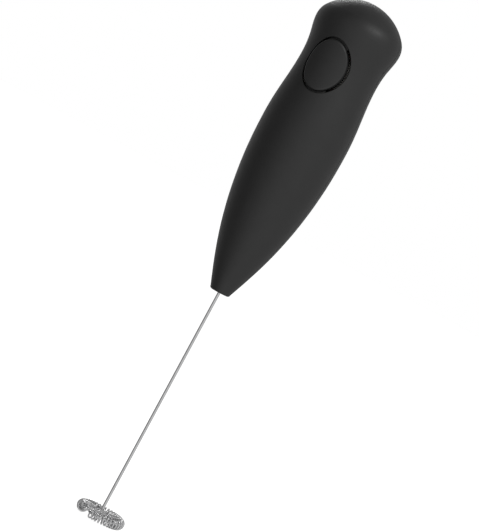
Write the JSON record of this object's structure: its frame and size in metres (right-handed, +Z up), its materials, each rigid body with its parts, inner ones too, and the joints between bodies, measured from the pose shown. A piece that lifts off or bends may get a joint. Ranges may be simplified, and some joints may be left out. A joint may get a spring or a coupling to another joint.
{
  "type": "milk frother",
  "caption": "Hand-held battery milk frother: waisted black handle with an oval button, a wire shaft and a coil-ring whisk.",
  "frame": {"origin": "centre of the handle's flat nose face, where the whisk shaft comes out", "axes": "+Z up along the shaft into the handle, -Y the front with the button, +X the right-hand side seen from the front"},
  "size_m": [0.0362, 0.0362, 0.2267],
  "materials": {
    "housing_plastic": "matte, fine grain",
    "button_plastic": "satin",
    "inner_plastic": "satin",
    "coupling_nylon": "satin",
    "contact_nickel": "satin nickel plate",
    "brass": "satin",
    "bronze": "porous, oiled",
    "motor_steel": "bright zinc",
    "shaft_steel": "ground",
    "screw_steel": "black oxide",
    "magnet": "ferrite, dull",
    "copper": "varnished copper wire",
    "stainless_wire": "bright drawn",
    "cell_jacket": "printed foil, no text",
    "lead_red": "satin",
    "lead_black": "satin",
    "lead_white": "satin"
  },
  "bodies": {
    "housing": {"bridge_spring": "contact_nickel", "brush_left": "brass", "brush_right": "brass", "cell_left": "cell_jacket", "cell_right": "cell_jacket", "contact_bridge": "contact_nickel", "contact_negative": "contact_nickel", "contact_positive": "contact_nickel", "front_shell": "housing_plastic", "lead_negative": "lead_black", "lead_positive": "lead_red", "lead_switch": "lead_white", "motor_can": "motor_steel", "motor_end_cap": "inner_plastic", "motor_front_bush": "bronze", "motor_magnet_front": "magnet", "motor_magnet_rear": "magnet", "motor_rear_bush": "bronze", "negative_spring": "contact_nickel", "nose_bush": "inner_plastic", "rear_shell": "housing_plastic", "screw_lower_left": "screw_steel", "screw_lower_right": "screw_steel", "screw_upper_left": "screw_steel", "screw_upper_right": "screw_steel", "switch_carrier": "inner_plastic", "switch_clip": "contact_nickel", "switch_contact": "brass", "terminal_left": "brass", "terminal_right": "brass"},
    "door": {"battery_door": "housing_plastic"},
    "push_button": {"button": "button_plastic"},
    "leaf": {"switch_leaf": "contact_nickel"},
    "spindle": {"motor_shaft": "shaft_steel", "rotor_core": "motor_steel", "rotor_windings": "copper", "commutator": "brass", "coupling_sleeve": "coupling_nylon", "whisk_wire": "stainless_wire", "whisk_coil": "stainless_wire"}
  },
  "joints": [
    {"name": "whisk_spin", "type": "hinge", "parent": "housing", "child": "spindle", "pos_m": [0, 0, 0], "axis": [0, 0, 1], "continuous": true},
    {"name": "button_press", "type": "slide", "parent": "housing", "child": "push_button", "axis": [0, 1, 0], "range_m": [0, 0.001], "stiffness_N_per_m": 1500, "springref_m": -0.0003},
    {"name": "leaf_bend", "type": "hinge", "parent": "housing", "child": "leaf", "pos_m": [0, -0.0112, 0.0834], "axis": [-1, 0, 0], "range_deg": [0, 5.1]},
    {"name": "door_lift", "type": "slide", "parent": "housing", "child": "door", "axis": [0, 1, 0], "range_m": [0, 0.03]}
  ],
  "couplings": [
    {"joint": "leaf_bend", "follows": "button_press", "rad_per_m": 88.793}
  ]
}
